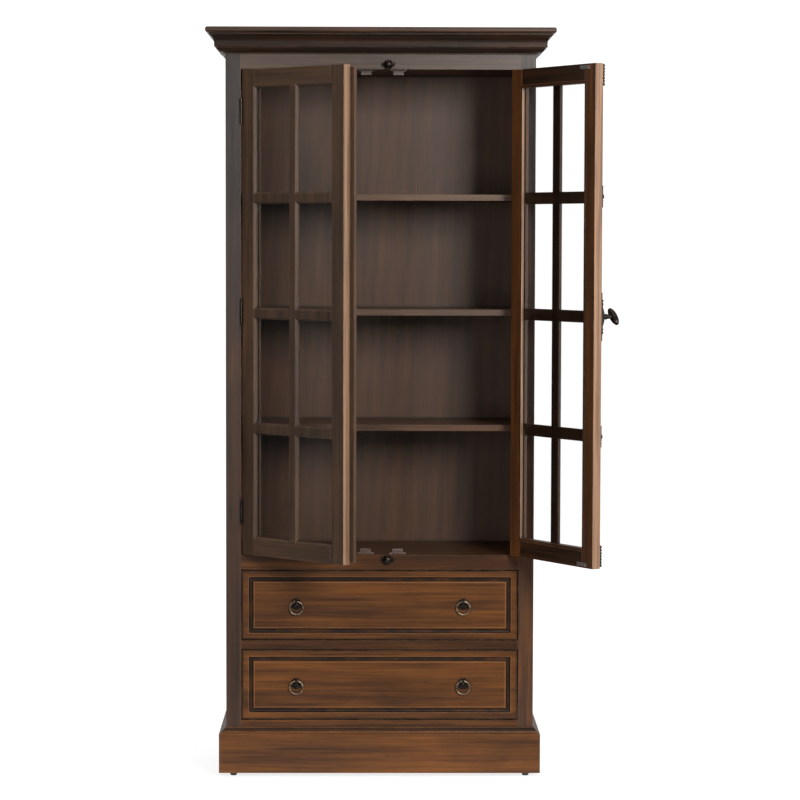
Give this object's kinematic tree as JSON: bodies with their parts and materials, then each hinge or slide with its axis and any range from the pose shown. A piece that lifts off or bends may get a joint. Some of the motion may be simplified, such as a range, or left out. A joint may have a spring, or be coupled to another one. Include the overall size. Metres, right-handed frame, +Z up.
{
  "type": "china cabinet",
  "caption": "Tall glazed china cabinet with two hinged divided-light doors, shelves, a knob-turned bolt and ring-pull drawers on a moulded plinth under a cornice.",
  "frame": {"origin": "on the floor, under the middle of the carcass", "axes": "+X to the right seen from the front, +Y from the doors to the back panel, +Z up"},
  "size_m": [1.0739, 0.6817, 2],
  "materials": {
    "stained_wood": "dark walnut stain, satin lacquer, worn lighter edges",
    "drawer_wood": "plain hardwood, thin clear coat",
    "glass": "clear polished",
    "dark_bronze": "oil-rubbed near-black bronze, satin",
    "zinc_steel": "bright zinc",
    "catch_plastic": "off-white moulded",
    "glide_plastic": "dark moulded"
  },
  "bodies": {
    "cabinet": {"left_side_panel": "stained_wood", "right_side_panel": "stained_wood", "back_panel": "stained_wood", "top_slab": "stained_wood", "ceiling_board": "stained_wood", "deck_board": "stained_wood", "bottom_board": "stained_wood", "cornice_front": "stained_wood", "cornice_returns": "stained_wood", "plinth_front": "stained_wood", "plinth_returns": "stained_wood", "left_face_stile": "stained_wood", "right_face_stile": "stained_wood", "top_rail": "stained_wood", "mid_rail": "stained_wood", "drawer_rails": "stained_wood", "upper_shelf": "stained_wood", "middle_shelf": "stained_wood", "lower_shelf": "stained_wood", "shelf_pins": "zinc_steel", "foot_glides": "glide_plastic", "drawer_runners": "drawer_wood", "cabinet_hinge_leaves": "dark_bronze", "magnetic_catches": "catch_plastic", "bolt_keepers": "dark_bronze"},
    "left_door": {"left_door_hinge_stile": "stained_wood", "left_door_meeting_stile": "stained_wood", "left_door_rails": "stained_wood", "left_door_muntins": "stained_wood", "left_door_glass": "glass", "left_door_beads": "stained_wood", "left_door_hinge_leaves": "dark_bronze", "left_door_strikes": "zinc_steel", "left_door_astragal": "stained_wood"},
    "right_door": {"right_door_hinge_stile": "stained_wood", "right_door_meeting_stile": "stained_wood", "right_door_rails": "stained_wood", "right_door_muntins": "stained_wood", "right_door_glass": "glass", "right_door_beads": "stained_wood", "right_door_hinge_leaves": "dark_bronze", "right_door_strikes": "zinc_steel", "bolt_case": "dark_bronze", "bolt_guides": "dark_bronze"},
    "bolt_knob": {"bolt_knob": "dark_bronze", "bolt_pinion": "dark_bronze"},
    "upper_rod": {"upper_bolt_rod": "dark_bronze"},
    "lower_rod": {"lower_bolt_rod": "dark_bronze"},
    "upper_drawer": {"upper_drawer_front": "stained_wood", "upper_drawer_walls": "drawer_wood", "upper_drawer_bottom": "drawer_wood", "upper_drawer_pull_rosettes": "dark_bronze"},
    "upper_left_ring": {"upper_drawer_left_pull_ring": "dark_bronze"},
    "upper_right_ring": {"upper_drawer_right_pull_ring": "dark_bronze"},
    "lower_drawer": {"lower_drawer_front": "stained_wood", "lower_drawer_walls": "drawer_wood", "lower_drawer_bottom": "drawer_wood", "lower_drawer_pull_rosettes": "dark_bronze"},
    "lower_left_ring": {"lower_drawer_left_pull_ring": "dark_bronze"},
    "lower_right_ring": {"lower_drawer_right_pull_ring": "dark_bronze"}
  },
  "joints": [
    {"name": "left_door_hinge", "type": "hinge", "parent": "cabinet", "child": "left_door", "pos_m": [-0.3705, -0.1785, 1.248], "axis": [0, 0, -1], "range_deg": [-42.56, 127.44]},
    {"name": "right_door_hinge", "type": "hinge", "parent": "cabinet", "child": "right_door", "pos_m": [0.3705, -0.1785, 1.248], "axis": [0, 0, 1], "range_deg": [-121.92, 48.08]},
    {"name": "bolt_knob_turn", "type": "hinge", "parent": "right_door", "child": "bolt_knob", "pos_m": [0.56049, -0.47309, 1.245], "axis": [0.8488, 0.5287, 0], "range_deg": [0, 90]},
    {"name": "upper_rod_slide", "type": "slide", "parent": "right_door", "child": "upper_rod", "axis": [0, 0, 1], "range_m": [0, 0.0157]},
    {"name": "lower_rod_slide", "type": "slide", "parent": "right_door", "child": "lower_rod", "axis": [0, 0, -1], "range_m": [0, 0.0158]},
    {"name": "upper_drawer_slide", "type": "slide", "parent": "cabinet", "child": "upper_drawer", "axis": [0, -1, 0], "range_m": [0, 0.24]},
    {"name": "upper_left_ring_hinge", "type": "hinge", "parent": "upper_drawer", "child": "upper_left_ring", "pos_m": [-0.224, -0.1803, 0.4722], "axis": [-1, 0, 0], "range_deg": [0, 100]},
    {"name": "upper_right_ring_hinge", "type": "hinge", "parent": "upper_drawer", "child": "upper_right_ring", "pos_m": [0.224, -0.1803, 0.4722], "axis": [-1, 0, 0], "range_deg": [0, 100]},
    {"name": "lower_drawer_slide", "type": "slide", "parent": "cabinet", "child": "lower_drawer", "axis": [0, -1, 0], "range_m": [0, 0.24]},
    {"name": "lower_left_ring_hinge", "type": "hinge", "parent": "lower_drawer", "child": "lower_left_ring", "pos_m": [-0.224, -0.1803, 0.2572], "axis": [-1, 0, 0], "range_deg": [0, 100]},
    {"name": "lower_right_ring_hinge", "type": "hinge", "parent": "lower_drawer", "child": "lower_right_ring", "pos_m": [0.224, -0.1803, 0.2572], "axis": [-1, 0, 0], "range_deg": [0, 100]}
  ],
  "couplings": [
    {"joint": "bolt_knob_turn", "follows": "upper_rod_slide", "rad_per_m": 100},
    {"joint": "lower_rod_slide", "follows": "upper_rod_slide", "ratio": 1}
  ]
}
